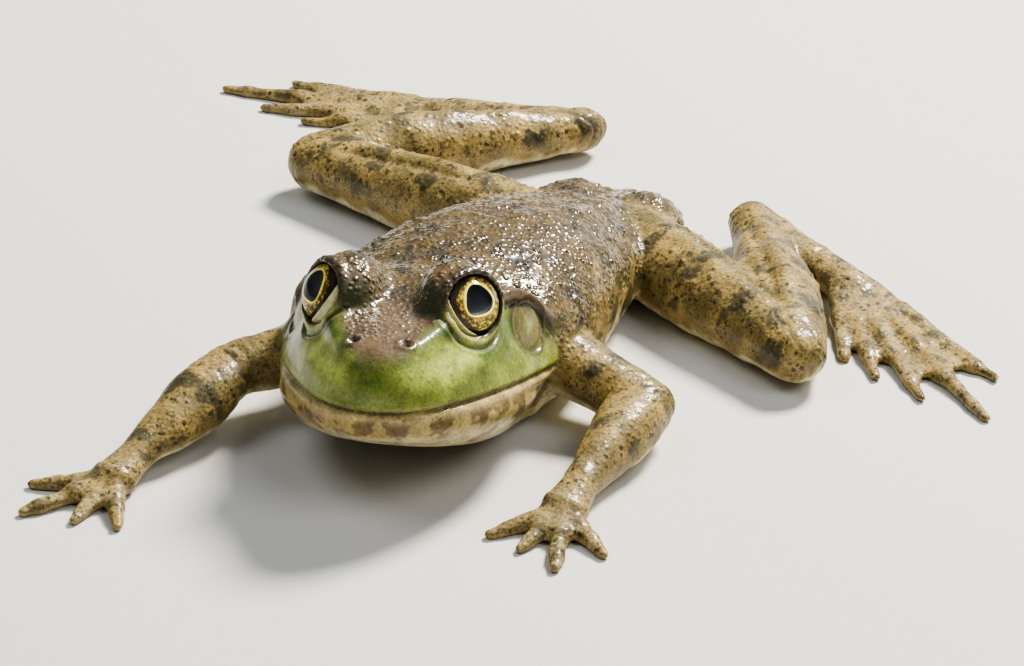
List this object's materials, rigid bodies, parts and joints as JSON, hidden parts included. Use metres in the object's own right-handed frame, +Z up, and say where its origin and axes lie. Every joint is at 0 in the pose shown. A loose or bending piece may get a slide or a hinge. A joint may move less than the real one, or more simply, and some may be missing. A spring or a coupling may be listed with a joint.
{
  "type": "bullfrog",
  "caption": "Still, life-size model of an adult bullfrog resting on its belly, head raised, one arm reaching forward, hind legs folded at its sides.",
  "frame": {"origin": "middle of the bounding box at floor level, under the front of the trunk", "axes": "+Z up from the floor; the frog faces -Y, and its left side is towards +X"},
  "size_m": [0.2092, 0.1996, 0.0427],
  "materials": {
    "face_skin": "wet satin green skin",
    "throat_skin": "wet satin cream and tan skin",
    "back_skin": "wet granular brown-olive skin",
    "limb_skin": "wet tan skin with dark flecks",
    "foot_skin": "smooth wet skin",
    "eardrum": "smooth taut skin",
    "eye": "wet glossy gold iris with a black pupil"
  },
  "bodies": {
    "root": {"head": "face_skin", "lower_jaw": "throat_skin", "trunk": "back_skin", "eye_left": "eye", "eye_right": "eye", "eardrum_left": "eardrum", "eardrum_right": "eardrum", "upper_arm_left": "limb_skin", "forearm_left": "limb_skin", "hand_left": "foot_skin", "thigh_left": "limb_skin", "shank_left": "limb_skin", "ankle_left": "limb_skin", "foot_left": "foot_skin", "upper_arm_right": "limb_skin", "forearm_right": "limb_skin", "hand_right": "foot_skin", "thigh_right": "limb_skin", "shank_right": "limb_skin", "ankle_right": "limb_skin", "foot_right": "foot_skin"}
  },
  "joints": []
}
